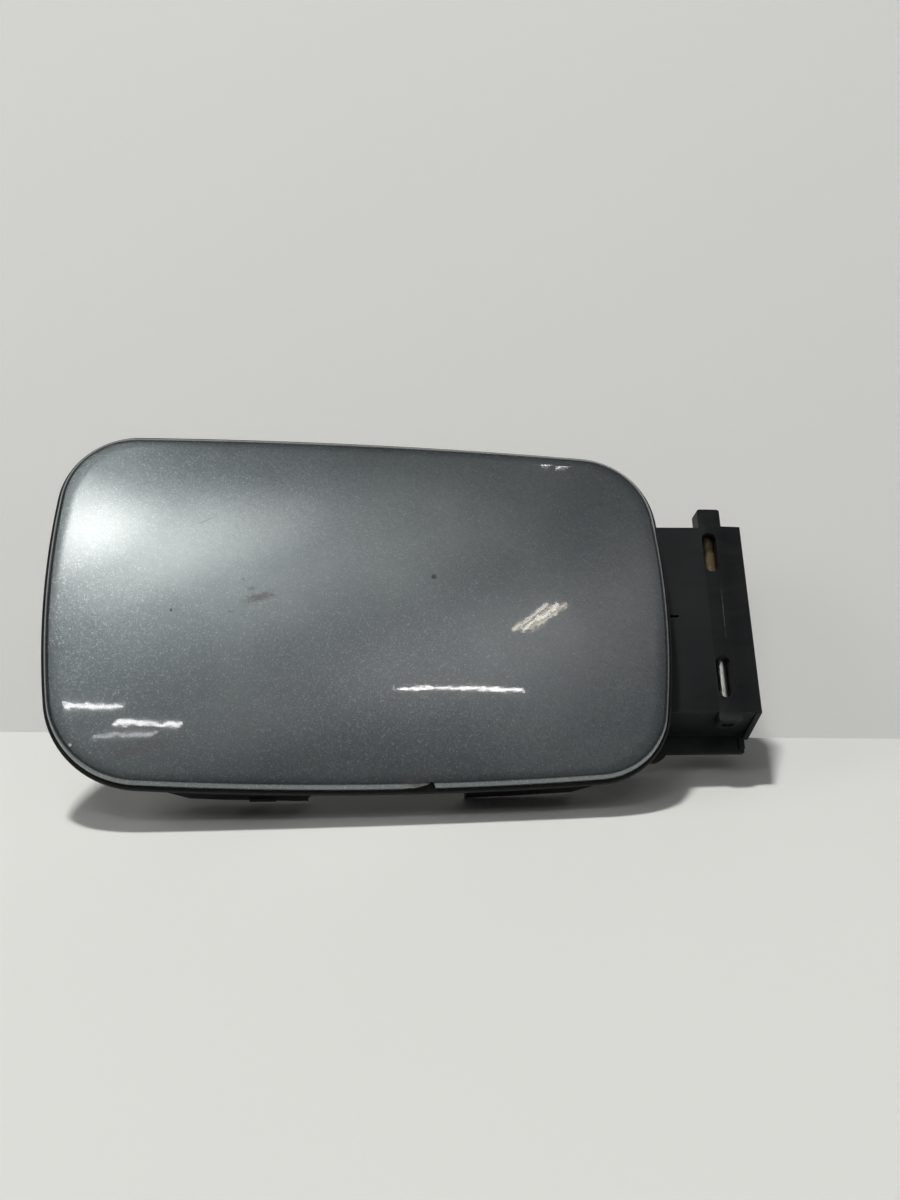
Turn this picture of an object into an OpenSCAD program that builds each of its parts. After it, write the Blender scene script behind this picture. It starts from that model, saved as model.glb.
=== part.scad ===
// Car fuel door: a painted flap on a moulded carrier, with a gooseneck arm that
// turns on a steel pin in a moulded hinge housing.
// Millimetres. The origin is midway between the two mounting holes, on the
// mounting face. X runs along the flap to the hinge side, Y into the car, Z up.

/* [Flap outline] */
// Width of the flap
flap_w = 211.4; // [190:0.2:230]
// Height of the flap
flap_h = 126.1; // [112:0.1:140]
// Drop of the top edge towards the hinge side
top_fall = 6.6; // [0:0.1:12]
// Corner radius, upper, free side
corner_ul = 25.5; // [18:0.5:32]
// Corner radius, upper, hinge side
corner_ur = 26.5; // [18:0.5:32]
// Corner radius, lower, hinge side
corner_lr = 26; // [18:0.5:32]
// Corner radius, lower, free side
corner_ll = 32.5; // [20:0.5:38]
// Radius to which the free side bows out
bow_free = 281; // [200:1:900]
// Radius to which the hinge side bows out
bow_hinge = 253; // [200:1:900]
// Radius to which the top edge bows out
bow_top = 1990; // [900:10:4000]
// Radius to which the bottom edge bows out
bow_foot = 1195; // [700:5:4000]
// How far the upper corners stand in from the full width
top_corner_in = 1.8; // [0:0.1:4]
// How far the lower corners stand in from the full width
foot_corner_in = 2.7; // [0:0.1:5]
// How far the lower corners stand up from the lowest line
foot_corner_up = 2.1; // [0:0.1:4]
// Rise of the flap's middle above the mounting holes' middle
flap_z = 0.55; // [-1:0.05:2]
// Distance of the flap's edge in front of the housing's front
flap_lead = 12; // [11:0.1:14]

/* [Outer panel] */
// Wall of the panel
panel_wall = 1.2; // [0.8:0.1:1.6]
// Rise of the panel's crown in its middle
crown = 2.4; // [1:0.1:4]
// Radius of the panel's edge
edge_r = 2; // [1.8:0.1:2.6]
// Depth of the panel's turned rim
rim_depth = 3; // [2.7:0.1:5]
// Width of the chip in the lower edge
chip_w = 9; // [4:0.5:14]
// Height of the chip in the lower edge
chip_h = 1.8; // [1:0.1:3]
// Place of the chip's steep side along the flap
chip_x = 22; // [-30:1:30]

/* [Edge seal] */
// How far the seal's lip stands out round the panel
seal_lip = 1.3; // [0.5:0.1:2]
// Thickness of the seal
seal_t = 1.6; // [1:0.1:3]
// Width of the seal under the panel
seal_in = 3; // [2.4:0.1:4]

/* [Inner carrier] */
// Wall of the carrier
carrier_wall = 2.2; // [1.6:0.1:3]
// Depth of the carrier's lower wall, from the flap's edge
foot_wall_depth = 25; // [20:0.5:28]
// Depth of the carrier's upper wall, from the flap's edge
top_wall_depth = 16; // [13:0.5:22]
// Depth of the carrier's low rim, from the flap's edge
rim_wall_depth = 10; // [8.5:0.5:12]
// Length of the lower wall along its back edge
foot_wall_len = 130; // [100:1:150]
// Length of the upper wall along its back edge
top_wall_len = 110; // [90:1:140]
// Middle of the lower wall along the flap
foot_wall_x = 7; // [-10:0.5:12]
// Inset of the carrier's walls from the flap's edge
carrier_in = 1; // [0.6:0.1:1.6]
// Slant of the walls' chamfered ends, run for each millimetre of depth
end_slant = 0.72; // [0.4:0.02:1.2]
// Width of the arched cut-out in the lower wall
arch_w = 53; // [40:1:70]
// Height of the arch's sill above the carrier's back
arch_sill = 1.7; // [1:0.1:4]
// Middle of the arched cut-out and of the filler ring
arch_x = 8.5; // [-5:0.5:15]
// Radius of the arch at its free side
arch_r_free = 13; // [4:0.5:14]
// Radius of the arch at its hinge side
arch_r_hinge = 4; // [2:0.5:10]
// Start of the stop nub along the lower wall
nub_x = -38; // [-45:0.5:-30]
// Length of the stop nub
nub_len = 9; // [5:0.5:12]
// Height of the stop nub
nub_h = 1; // [0.5:0.1:2]
// Thickness of the carrier's ribs
rib_t = 1.6; // [1:0.1:2.4]
// Height of the carrier's ribs
rib_h = 5; // [3:0.5:6.5]
// Spacing of the carrier's ribs
rib_pitch = 22; // [20:1:24]
// Radius of the round rib that clears the filler cap
filler_ring_r = 41; // [34:1:44]
// Height of the round rib
filler_ring_h = 6.2; // [4:0.2:8]
// Room between the carrier and the pieces that enclose it
carrier_room = 0.1; // [0.05:0.05:0.2]

/* [Bump stops] */
// Radius of a bump stop at its foot
bump_r = 5.5; // [4:0.1:7]
// Height of a bump stop
bump_h = 8; // [5:0.5:12]
// How much narrower a bump stop is below its bevel than at its foot
bump_taper = 0.4; // [0:0.1:0.8]
// Bevel of a bump stop's tip
bump_bevel = 1.5; // [0.5:0.1:2]
// Radius of a bump stop's stem
bump_stem_r = 2.5; // [2:0.1:3.2]
// Height of the bulb that holds a bump stop in the carrier
bulb_h = 2; // [1:0.1:2.4]
// How far the bulb stands out round the stem
bulb_lip = 0.7; // [0.4:0.1:1]
// Distance of the bump stops in from the free side
bump_in = 21.5; // [19:0.5:30]
// Height of each bump stop above or below the flap's middle
bump_z = 37; // [30:1:40]

/* [Striker] */
// Thickness of the striker's steel
striker_t = 2; // [1.5:0.1:3]
// Distance of the striker's tongue in from the free side
striker_in = 14.7; // [12:0.1:18]
// Width of the striker's tongue
tongue_w = 16; // [13:0.5:20]
// Depth of the lock hole from the flap's edge
lock_depth = 22; // [20:0.5:28]
// Radius of the lock hole
lock_r = 4; // [3:0.1:5]
// Width of the striker's foot across the flap
striker_foot_w = 26; // [24:0.5:32]
// Length of the striker's foot along the flap
striker_foot_len = 19; // [17:0.5:24]
// Distance of the striker's screws from the foot's edges
striker_screw_in = 5; // [4.5:0.1:6]
// Radius of the bend between the striker's foot and its tongue
striker_bend = 2.5; // [2:0.1:3]

/* [Hinge] */
// Radius of the hinge pin
pin_r = 2.5; // [2:0.05:3]
// Distance of the hinge axis beyond the flap's edge
pin_gap = 22.3; // [21.5:0.1:26]
// Depth of the hinge axis behind the housing's front
pin_set = 6.3; // [6.3:0.1:8]
// Bevel of the pin's ends
pin_bevel = 0.5; // [0.2:0.1:1]
// Depth of the pin's upper end below the top of its boss
pin_in_top = 2; // [1:0.1:3]
// Depth of the pin's lower end above the foot of its boss
pin_in_low = 1; // [0.5:0.1:2]
// Running clearance of the bushes on the pin, on the radius
run_gap = 0.05; // [0.02:0.01:0.09]
// Wall of a bush
bush_wall = 0.8; // [0.6:0.1:1]
// Thickness of a bush's flange
bush_flange = 0.8; // [0.5:0.1:1.2]
// Distance of a bush's flange in from the knuckle's side
bush_flange_in = 0.2; // [0.1:0.1:0.6]
// Length of a bush inside the knuckle
bush_len = 8; // [5:0.5:10]
// Play of the knuckle along the pin, at each end
end_play = 0.1; // [0.05:0.01:0.2]
// Radius of the knuckle
knuckle_r = 4.9; // [4.8:0.05:5]
// Height of the knuckle and of the arm
knuckle_h = 27.6; // [24:0.2:28]
// Middle of the knuckle above the mounting holes' middle
knuckle_mid = 1.4; // [0:0.1:2]

/* [Hinge arm] */
// Thickness of the gooseneck
arm_t = 4; // [3:0.1:4.4]
// Thickness of the arm's leg at the knuckle
leg_t = 4.4; // [3.4:0.1:4.4]
// Direction of the leg at rest, from the flap's line
leg_turn = 86; // [84:0.5:88]
// Gap between the two arms
arm_slot = 10; // [6:0.5:14]
// Thickness of the arm's foot
foot_t = 3; // [2.4:0.1:4]
// Length of the arm's foot along the flap
foot_len = 39; // [34:0.5:46]
// Height of the arm's foot
foot_h = 40; // [36:0.5:46]
// Distance of the far screws from the foot's end
foot_screw_in = 6; // [5:0.5:8]
// Distance of the near screws from the foot's hinge edge
foot_screw_near = 12; // [9:0.5:14]
// Height of the screws above and below the arm's middle
foot_screw_rise = 15.8; // [15:0.1:17]
// Clear length of the foot before the gussets
gusset_in = 12; // [10:0.5:16]
// Thickness of a gusset at its top
gusset_tip = 2; // [1.5:0.1:3]
// Radius of the cam's lobe on the knuckle
lobe_r = 1.2; // [1:0.1:1.3]
// Depth of the lobe's middle inside the knuckle's side
lobe_sink = 0.2; // [0.1:0.05:0.3]
// Direction of the cam's lobe at rest
lobe_turn = -40; // [-44:1:-34]

/* [Hinge housing] */
// Height of the housing's front
housing_h = 70; // [66:0.5:76]
// Distance of the housing's front from the mounting face
housing_out = 22.7; // [21:0.1:26]
// Wall of the housing
housing_wall = 2.2; // [2:0.1:2.3]
// Wall of the housing's round back
barrel_wall = 2; // [1.6:0.1:3]
// Clearance between the arm and the housing's round back
barrel_gap = 1; // [0.6:0.1:2]
// Distance from the hinge axis to the front wall's free tip
tip_reach = 21.5; // [20:0.1:22]
// Distance from the hinge axis to the housing's outer side
side_reach = 11.3; // [11:0.1:13]
// Clearance of the swinging arm
swing_gap = 0.55; // [0.4:0.05:0.8]
// Drop of the housing's underside from front to flange
floor_drop = 3.2; // [2:0.1:4]
// Drop of the outer side's lower edge from front to flange
side_drop = 5.1; // [4.2:0.1:6]
// Width of a window
window_w = 5.1; // [4.4:0.1:6]
// Height of a window
window_h = 15; // [10:0.5:15]
// Height of the upper window's middle
window_up = 25.3; // [25:0.1:26]
// Depth of the lower window's middle below the mounting holes' middle
window_down = 22; // [21.5:0.1:23]
// Distance of the windows' middle from the hinge axis
window_shift = -1; // [-1.5:0.1:0.5]
// Radius of the bosses that hold the pin
boss_r = 5.6; // [5.2:0.1:6]
// Clearance round the knuckle
knuckle_room = 0.4; // [0.3:0.05:0.5]
// Depth of the pocket behind the front, beside the knuckle
pocket = 0.5; // [0.3:0.1:0.7]
// Shift of the end bosses towards the hinge side
boss_shift = -0.2; // [-0.6:0.1:0.6]
// Width of the end bosses above and below the housing
cap_boss_w = 8.5; // [8:0.1:10]
// Radius of the end bosses' corners
cap_boss_edge = 1; // [0.4:0.1:1.6]
// Height of the boss above the housing
cap_boss_h = 7.4; // [4:0.1:10]
// Drop of the boss below the housing
foot_boss_h = 3.2; // [2:0.1:5]
// Bevel of the front's outer part
front_bevel = 0.8; // [0.2:0.1:1.2]
// Start of the front's bevel beyond the hinge axis
front_crease = 0.4; // [0:0.1:3]
// Height of the raised strip on the top, beside the boss
top_strip_h = 0.7; // [0.3:0.1:1]
// Length of the slit in the front's free tip
slit_len = 6.2; // [2:0.1:8]
// Height of the slit
slit_h = 0.8; // [0.4:0.1:1.2]

/* [Mounting flange] */
// Thickness of the flange
flange_t = 3; // [2.4:0.1:4]
// Distance of the mounting holes from the hinge axis
hole_reach = 41; // [39:0.5:44]
// Spacing of the mounting holes
hole_pitch = 64; // [58:0.5:68]
// Radius of the bolt hole in a sleeve
bolt_hole_r = 3.2; // [2.6:0.1:3.4]
// Wall of a sleeve
sleeve_wall = 1.4; // [1:0.1:2]
// Flange left round a mounting hole
flange_rim = 12; // [8:0.5:14]
// Top of the flange above the housing's front
flange_up = 6; // [4:0.5:8]
// Drop of the flange below the housing's underside
flange_down = 6.7; // [5:0.1:8]
// Drop of the flange's ear below the rest of the flange
ear_drop = 3.1; // [1:0.1:4]
// Distance from the hinge axis to the ear's inner end
ear_reach = 18; // [16:0.5:20]
// Corner radius of the flange
flange_r = 6; // [3:0.5:8]
// Distance of the flange's edge in from the housing's outer side
flange_step = 1.5; // [0.5:0.1:3]
// Height of the ear's ribs above and below the middle
ear_rib_z = 20; // [18:0.5:22]
// Distance of the ear's ribs from the flange's free side
ear_rib_in = 4; // [2:0.5:5]
// Height of the ribs on the flange's front
ear_rib_h = 3; // [1:0.1:4]
// How far the rib at the flange's outer side stands out
side_rib_h = 1.2; // [0.6:0.1:2]

/* [Check spring] */
// Thickness of the leaf
leaf_t = 0.6; // [0.4:0.05:0.8]
// Width of the leaf
leaf_w = 14; // [10:0.5:18]
// Gap between the leaf and the knuckle at rest
leaf_gap = 0.4; // [0.3:0.05:0.6]
// Length of the leaf behind the hinge axis
leaf_back = 22; // [20:0.5:23]
// Length of the leaf in front of the hinge axis
leaf_front = 3; // [2:0.1:3.4]
// Radius of a rivet's shank
rivet_r = 1.2; // [1:0.1:1.6]
// Radius of a rivet's head
rivet_head_r = 2.2; // [1.8:0.1:2.8]
// Height of a rivet's head
rivet_head_h = 0.7; // [0.5:0.1:0.8]
// Distance of the rivets from the leaf's end
rivet_in = 4; // [3.5:0.1:5]
// Wall of the housing that a rivet's hole leaves
rivet_skin = 1; // [0.8:0.1:1.4]
// Spacing of the rivets
rivet_pitch = 8; // [6:0.5:9]
// Half length of the leaf's seat
leaf_pad = 5; // [4:0.5:5]

/* [Screws] */
// Radius of a screw's shank
screw_r = 1.75; // [1.4:0.05:2]
// Radius of a screw's head
screw_head_r = 3.6; // [3:0.1:4]
// Radius of the flat on a screw's head
screw_flat_r = 2.9; // [2.2:0.1:3]
// Height of a screw's head
screw_head_h = 2.2; // [1.6:0.1:2.8]
// Width of the cross recess in a screw's head
recess_w = 0.7; // [0.5:0.1:1]
// Depth of the cross recess
recess_d = 1.1; // [0.8:0.1:1.4]
// Length of a screw's tapered tip
screw_tip = 1; // [0.6:0.1:1.5]
// Wall of the bosses that take the screws
screw_boss_wall = 2.3; // [1.6:0.1:3]
// Thickness of the boss left below a screw's hole
screw_hole_floor = 1; // [0.6:0.1:1.6]
// Clearance round a screw in the part that it holds down
screw_clear = 0.35; // [0.2:0.05:0.5]

/* [Hidden] */
$fn = 96;

paint = [0.38, 0.42, 0.44];
black = [0.07, 0.07, 0.08];
rubber = [0.1, 0.1, 0.1];
steel = [0.72, 0.72, 0.7];
zinc = [0.62, 0.63, 0.62];
acetal = [0.86, 0.84, 0.78];

// Solids that are cut run past the faces that they cut by this much
past = 1;
// Faces of one body that fit together keep this much room on the radius
fit_room = 0.02;
// Solids that become one run into each other by this much
lap = 0.5;
// Room between the end of a screw or rivet and the floor of its hole
tip_room = 0.2;

// Places in the frame of the mounting holes
pin_x = hole_reach;
pin_y = pin_set - housing_out;
flap_x = pin_x - pin_gap - flap_w / 2;
flap_y = -housing_out - flap_lead;

// Depths behind the flap's edge
plate_y = rim_depth + seal_t;
back_y = plate_y + carrier_wall;
pad_y = panel_wall + carrier_room;
screw_hole_y = pad_y + screw_hole_floor;
screw_boss_r = screw_r + screw_boss_wall;

// Corners and sides of the flap's outline, from the lower hinge corner round by the top
corner_r = [corner_lr, corner_ur, corner_ul, corner_ll];
corner_at = [
    [flap_w / 2 - foot_corner_in - corner_lr, corner_lr + foot_corner_up - flap_h / 2],
    [flap_w / 2 - top_corner_in - corner_ur, flap_h / 2 - top_fall - corner_ur],
    [top_corner_in + corner_ul - flap_w / 2, flap_h / 2 - corner_ul],
    [foot_corner_in + corner_ll - flap_w / 2, corner_ll + foot_corner_up - flap_h / 2]
];
bow_r = [bow_hinge, bow_top, bow_free, bow_foot];
bow_at = [
    for (k = [0:3])
        let (m = (k + 1) % 4)
        bow_centre(corner_at[k], bow_r[k] - corner_r[k], corner_at[m], bow_r[k] - corner_r[m])
];
corner_steps = 8;
side_steps = 6;

// The hinge, seen from the pin
knuckle_top = knuckle_mid + knuckle_h / 2;
knuckle_low = knuckle_mid - knuckle_h / 2;
bush_r = pin_r + run_gap + bush_wall;
block_low = knuckle_low - bush_flange - end_play;
block_top = knuckle_top + bush_flange + end_play;
arm_in_r = norm([tip_reach, pin_set]) + swing_gap;
arm_out_r = arm_in_r + arm_t;
foot_face = flap_y + back_y - pin_y;
foot_back = foot_face + foot_t;
foot_end = -arm_in_r - foot_len;
foot_x = [foot_end + foot_screw_in, -arm_in_r - foot_screw_near];
foot_z = [knuckle_mid - foot_screw_rise, knuckle_mid + foot_screw_rise];

// The housing, seen from the pin
barrel_in_r = arm_out_r + barrel_gap;
barrel_out_r = barrel_in_r + barrel_wall;
flange_face = -pin_y;
flange_front = flange_face - flange_t;
housing_top = housing_h / 2;
housing_low = -housing_h / 2;
floor_low = housing_low - floor_drop;
pin_top = housing_top + cap_boss_h - pin_in_top;
pin_low = housing_low - foot_boss_h + pin_in_low;
leaf_x = knuckle_r + leaf_gap;
leaf_seat = leaf_x + leaf_t;
rivet_y = leaf_back - rivet_in;

// The foot, the striker and the bump stops, seen from the flap's middle
hinge_dx = pin_x - flap_x;
hinge_dz = -flap_z;
tongue_x = striker_in - flap_w / 2;
striker_x = tongue_x + striker_foot_len - striker_screw_in;
striker_z = [striker_screw_in - striker_foot_w / 2, striker_foot_w / 2 - striker_screw_in];
bump_x = bump_in - flap_w / 2;

function bearing(v) = atan2(v[1], v[0]);
function ahead(a, b) = b < a ? b + 360 : b;
function spot(c, r, t) = c + r * [cos(t), sin(t)];
function mean(a, b) = (a + b) / 2;

// Middle of the circle that two corner circles touch from inside
function bow_centre(c1, d1, c2, d2) =
    let (
        v = c2 - c1,
        d = norm(v),
        a = (d1 * d1 - d2 * d2 + d * d) / (2 * d),
        h = sqrt(d1 * d1 - a * a)
    )
    c1 + (a * v + h * [-v[1], v[0]]) / d;

// The flap's outline, moved inwards
function outline(inset) = [
    for (k = [0:3])
        let (
            a = bearing(corner_at[k] - bow_at[(k + 3) % 4]),
            b = ahead(a, bearing(corner_at[k] - bow_at[k])),
            e = ahead(b, bearing(corner_at[(k + 1) % 4] - bow_at[k]))
        )
        each concat(
            [
                for (i = [0:corner_steps])
                    spot(corner_at[k], corner_r[k] - inset, a + (b - a) * i / corner_steps)
            ],
            [
                for (i = [1:side_steps - 1])
                    spot(bow_at[k], bow_r[k] - inset, b + (e - b) * i / side_steps)
            ]
        )
];

// A closed line round the flap at one depth, drawn in towards the middle by a share
function ring(inset, y, share = 1) = [for (p = outline(inset)) [share * p[0], y, share * p[1]]];
function crown_ring(inset, y, share) = ring(inset, y - crown * (1 - share * share), share);

module in_flap() {
    translate([flap_x, flap_y, flap_z]) children();
}

module at_hinge() {
    translate([pin_x, pin_y, 0]) children();
}

// A drawing on the flap's face, made solid between two depths
module slab(y0, y1) {
    translate([0, y1, 0]) rotate([90, 0, 0]) linear_extrude(y1 - y0) children();
}

// A plan, made solid between two heights
module rise(z0, z1) {
    translate([0, 0, z0]) linear_extrude(z1 - z0) children();
}

// A side view, made solid between two places along the flap
module span(x0, x1) {
    translate([x0, 0, 0]) rotate([90, 0, 90]) linear_extrude(x1 - x0) children();
}

// A solid through a stack of closed lines, closed at both ends by a point
module lofted(rings, first, last) {
    n = len(rings[0]);
    m = len(rings);
    polyhedron(
        concat([first], [for (r = rings) each r], [last]),
        concat(
            [for (i = [0:n - 1]) [0, 1 + (i + 1) % n, 1 + i]],
            [
                for (j = [0:m - 2], i = [0:n - 1])
                    let (a = 1 + j * n + i, b = 1 + j * n + (i + 1) % n)
                    each [[a, b, b + n], [a, b + n, a + n]]
            ],
            [for (i = [0:n - 1]) [1 + m * n, 1 + (m - 1) * n + i, 1 + (m - 1) * n + (i + 1) % n]]
        )
    );
}

module band(outer, inner) {
    difference() {
        polygon(outline(outer));
        polygon(outline(inner));
    }
}

module tube(outer, inner, z0, z1) {
    translate([0, 0, z0]) difference() {
        cylinder(r = outer, h = z1 - z0);
        translate([0, 0, -past]) cylinder(r = inner, h = z1 - z0 + 2 * past);
    }
}

// A round hole or peg along Y
module along_y(x, z, r, y0, y1) {
    translate([x, y1, z]) rotate([90, 0, 0]) cylinder(r = r, h = y1 - y0);
}

module box(x0, x1, y0, y1, z0, z1) {
    translate([x0, y0, z0]) cube([x1 - x0, y1 - y0, z1 - z0]);
}

// A rectangle with round corners
module round_plate(x0, x1, z0, z1, r) {
    for (x = [x0 + r, x1 - r], z = [z0 + r, z1 - r]) translate([x, z]) circle(r);
    translate([x0 + r, z0]) square([x1 - x0 - 2 * r, z1 - z0]);
    translate([x0, z0 + r]) square([x1 - x0, z1 - z0 - 2 * r]);
}

// Outer panel
module outer_panel() {
    r_in = edge_r - panel_wall;
    shares = [0.3, 0.56, 0.78, 0.92, 1];
    turns = [30, 60, 90];
    rings = concat(
        [for (s = shares) crown_ring(edge_r, 0, s)],
        [for (t = turns) ring(edge_r * (1 - sin(t)), edge_r * (1 - cos(t)))],
        [ring(0, rim_depth), ring(panel_wall, rim_depth)],
        [for (t = [90, 45]) ring(panel_wall + r_in * (1 - sin(t)), panel_wall + r_in * (1 - cos(t)))],
        [for (i = [len(shares) - 1:-1:0]) crown_ring(edge_r, panel_wall, shares[i])]
    );
    foot = -flap_h / 2;
    color(paint) in_flap() difference() {
        lofted(rings, [0, -crown, 0], [0, panel_wall - crown, 0]);
        slab(-crown - past, rim_depth + past) polygon([
            [chip_x, foot - past], [chip_x, foot + chip_h],
            [chip_x - chip_w, foot], [chip_x - chip_w, foot - past]
        ]);
    }
}

// Edge seal
module edge_seal() {
    color(rubber) in_flap() slab(rim_depth, plate_y) band(-seal_lip, seal_in);
}

// Plan of one deep wall of the carrier
module wall_plan(middle, length, depth) {
    run = end_slant * (depth - plate_y);
    polygon([
        [middle - length / 2 - run, plate_y], [middle + length / 2 + run, plate_y],
        [middle + length / 2, depth], [middle - length / 2, depth]
    ]);
}

// Plan of the arched cut-out, with a round corner at each side of its sill
module arch_plan() {
    x0 = arch_x - arch_w / 2;
    x1 = arch_x + arch_w / 2;
    sill = back_y + arch_sill;
    reach = foot_wall_depth + past;
    translate([x0 + arch_r_free, sill + arch_r_free]) circle(arch_r_free);
    translate([x1 - arch_r_hinge, sill + arch_r_hinge]) circle(arch_r_hinge);
    translate([x0 + arch_r_free, sill]) square([arch_w - arch_r_free - arch_r_hinge, reach - sill]);
    translate([x0, sill + arch_r_free]) square([arch_w / 2, reach - sill - arch_r_free]);
    translate([x1 - arch_w / 2, sill + arch_r_hinge]) square([arch_w / 2, reach - sill - arch_r_hinge]);
}

// The place of the arm's foot on the carrier
module foot_patch(margin) {
    translate([foot_end + hinge_dx - margin, knuckle_mid + hinge_dz - foot_h / 2 - margin])
        square([foot_len + corner_ur, foot_h + 2 * margin]);
}

module carrier_walls() {
    inner = carrier_in + carrier_wall;
    foot = -flap_h / 2;
    difference() {
        slab(plate_y, rim_wall_depth) band(carrier_in, inner);
        slab(back_y, rim_wall_depth + past) foot_patch(past);
    }
    intersection() {
        slab(plate_y, foot_wall_depth) band(carrier_in, inner);
        rise(foot - past, foot + corner_ll / 2) difference() {
            wall_plan(foot_wall_x, foot_wall_len, foot_wall_depth);
            arch_plan();
        }
    }
    intersection() {
        slab(plate_y, top_wall_depth) band(carrier_in, inner);
        rise(flap_h / 2 - top_fall - corner_ur / 2, flap_h / 2)
            wall_plan(0, top_wall_len, top_wall_depth);
    }
}

module carrier_ribs() {
    slab(plate_y, back_y + rib_h) difference() {
        intersection() {
            polygon(outline(carrier_in + carrier_wall / 2));
            union() {
                for (k = [-5:5])
                    translate([arch_x + mean(k, k + 1) * rib_pitch - rib_t / 2, -flap_h / 2])
                        square([rib_t, flap_h]);
                for (k = [-3:3])
                    translate([-flap_w / 2, mean(k, k + 1) * rib_pitch - rib_t / 2])
                        square([flap_w, rib_t]);
            }
        }
        translate([arch_x, 0]) circle(filler_ring_r);
        foot_patch(past);
        translate([tongue_x - past, -striker_foot_w / 2 - past])
            square([striker_foot_len + 2 * past, striker_foot_w + 2 * past]);
        for (z = [-bump_z, bump_z]) translate([bump_x, z]) circle(bump_r + past);
    }
    slab(plate_y, back_y + filler_ring_h) translate([arch_x, 0]) difference() {
        circle(filler_ring_r + rib_t);
        circle(filler_ring_r);
    }
}

// Inner carrier
module inner_carrier() {
    color(black) in_flap() difference() {
        union() {
            slab(plate_y, back_y) polygon(outline(carrier_in / 2));
            slab(pad_y, plate_y) band(seal_in + carrier_room, seal_in + carrier_room + carrier_wall);
            carrier_walls();
            carrier_ribs();
            box(nub_x, nub_x + nub_len, foot_wall_depth - nub_len / 2, foot_wall_depth + nub_h,
                carrier_in - flap_h / 2 + carrier_room, carrier_in - flap_h / 2 + carrier_wall);
            for (x = foot_x, z = foot_z)
                along_y(x + hinge_dx, z + hinge_dz, screw_boss_r, pad_y, plate_y);
            for (z = striker_z) along_y(striker_x, z, screw_boss_r, pad_y, plate_y);
        }
        for (x = foot_x, z = foot_z)
            along_y(x + hinge_dx, z + hinge_dz, screw_r + fit_room, screw_hole_y, back_y + past);
        for (z = striker_z) along_y(striker_x, z, screw_r + fit_room, screw_hole_y, back_y + past);
        for (z = [-bump_z, bump_z])
            along_y(bump_x, z, bump_stem_r + fit_room, plate_y - past, back_y + past);
    }
}

// Bump stop, above or below the flap's middle
module bump_stop(side) {
    tip_r = bump_r - bump_taper;
    bulb_end = -carrier_wall - bulb_h;
    color(rubber) in_flap() translate([bump_x, back_y, side * bump_z]) rotate([-90, 0, 0])
        rotate_extrude() polygon([
            [0, bulb_end], [bump_stem_r, bulb_end], [bump_stem_r + bulb_lip, bulb_end + bulb_h / 2],
            [bump_stem_r + bulb_lip, -carrier_wall], [bump_stem_r, -carrier_wall], [bump_stem_r, 0],
            [bump_r, 0], [tip_r, bump_h - bump_bevel], [tip_r - bump_bevel, bump_h], [0, bump_h]
        ]);
}

// Screw along Y with its head behind a face, under a cross recess
module screw(x, z, face, tip) {
    translate([x, face, z]) rotate([90, 0, 0]) difference() {
        union() {
            translate([0, 0, -screw_head_h])
                cylinder(r1 = screw_flat_r, r2 = screw_head_r, h = screw_head_h);
            cylinder(r = screw_r, h = face - tip - screw_tip);
            translate([0, 0, face - tip - screw_tip])
                cylinder(r1 = screw_r, r2 = screw_r / 2, h = screw_tip);
        }
        for (turn = [0, 90]) rotate(turn)
            translate([-screw_r, -recess_w / 2, -screw_head_h - past])
                cube([2 * screw_r, recess_w, past + recess_d]);
    }
}

module arm_screw(k) {
    color(zinc) translate([pin_x, 0, 0])
        screw(foot_x[k % 2], foot_z[floor(k / 2)], pin_y + foot_back, flap_y + screw_hole_y + tip_room);
}

module striker_screw(k) {
    color(zinc) in_flap()
        screw(striker_x, striker_z[k], back_y + striker_t, screw_hole_y + tip_room);
}

// Striker: a foot on the carrier and a bent tongue with the lock hole
module latch_striker() {
    x = tongue_x;
    tip = lock_depth + tongue_w / 2;
    bend = striker_bend;
    half = striker_foot_w / 2;
    color(zinc) in_flap() difference() {
        intersection() {
            rise(-half, half) difference() {
                union() {
                    translate([x, back_y]) square([striker_foot_len, striker_t]);
                    translate([x, back_y]) square([striker_t, tip - back_y]);
                    translate([x, back_y]) square([bend + striker_t, bend + striker_t]);
                }
                translate([x + bend + striker_t, back_y + bend + striker_t]) circle(bend);
                difference() {
                    translate([x - past, back_y - past]) square(past + bend);
                    translate([x + bend, back_y + bend]) circle(bend);
                }
            }
            union() {
                box(x - past, x + striker_foot_len, back_y - past, back_y + bend + striker_t, -half, half);
                span(x - past, x + striker_t + past) {
                    translate([lock_depth, 0]) circle(tongue_w / 2);
                    translate([back_y, -tongue_w / 2]) square([lock_depth - back_y, tongue_w]);
                }
            }
        }
        translate([x - past, lock_depth, 0]) rotate([0, 90, 0])
            cylinder(r = lock_r, h = striker_t + 2 * past);
        for (z = striker_z)
            along_y(striker_x, z, screw_r + screw_clear, back_y - past, back_y + striker_t + past);
    }
}

// Plan of the gooseneck: a leg from the knuckle, a bend round the housing's tip and a run to the foot
module gooseneck_plan() {
    start = leg_turn - asin(leg_t / 2 / (arm_in_r + arm_t / 2));
    wide = 2 * arm_out_r;
    intersection() {
        difference() {
            circle(arm_out_r);
            circle(arm_in_r);
        }
        polygon([[0, 0], spot([0, 0], wide, start), spot([0, 0], wide, mean(start, 180)), [-wide, 0]]);
    }
    rotate(leg_turn) translate([0, -leg_t / 2]) square([arm_in_r + arm_t / 2, leg_t]);
    translate([-arm_out_r, foot_face]) square([arm_t, -foot_face]);
}

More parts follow.
